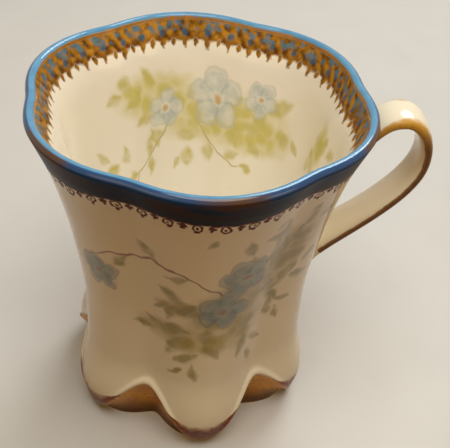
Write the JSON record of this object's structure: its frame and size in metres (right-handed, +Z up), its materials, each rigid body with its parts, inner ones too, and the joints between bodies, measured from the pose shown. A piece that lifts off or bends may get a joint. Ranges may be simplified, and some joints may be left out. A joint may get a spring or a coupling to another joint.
{
  "type": "chocolate cup",
  "caption": "Footed porcelain chocolate cup with a lobed flared rim, arched petal feet, an ear-shaped strap handle, a blue enamel rim band, gold borders and gilded edges.",
  "frame": {"origin": "on the axis of the cup, in the plane of the table", "axes": "+Z up along the axis of the cup, +X from the axis towards the handle, +Y to the left of the handle seen from above"},
  "size_m": [0.0793, 0.0678, 0.0761],
  "materials": {
    "glazed_porcelain": "clear glossy glaze over warm white porcelain, with soft painted flower sprays",
    "fired_slip": "glazed fillet of the same porcelain slip",
    "blue_enamel": "glossy light blue lip over a darker blue band with worn gold scrollwork",
    "printed_gold": "printed brown-gold lace with blue dots, slightly raised",
    "brushed_gilding": "hand-brushed gold, satin, worn thin at its edges"
  },
  "bodies": {
    "root": {"cup_body": "glazed_porcelain", "handle": "glazed_porcelain", "upper_handle_joint": "fired_slip", "lower_handle_joint": "fired_slip", "rim_enamel_band": "blue_enamel", "inner_gold_border": "printed_gold", "outer_gold_border": "printed_gold", "foot_gilding": "brushed_gilding", "handle_gilding": "brushed_gilding"}
  },
  "joints": []
}
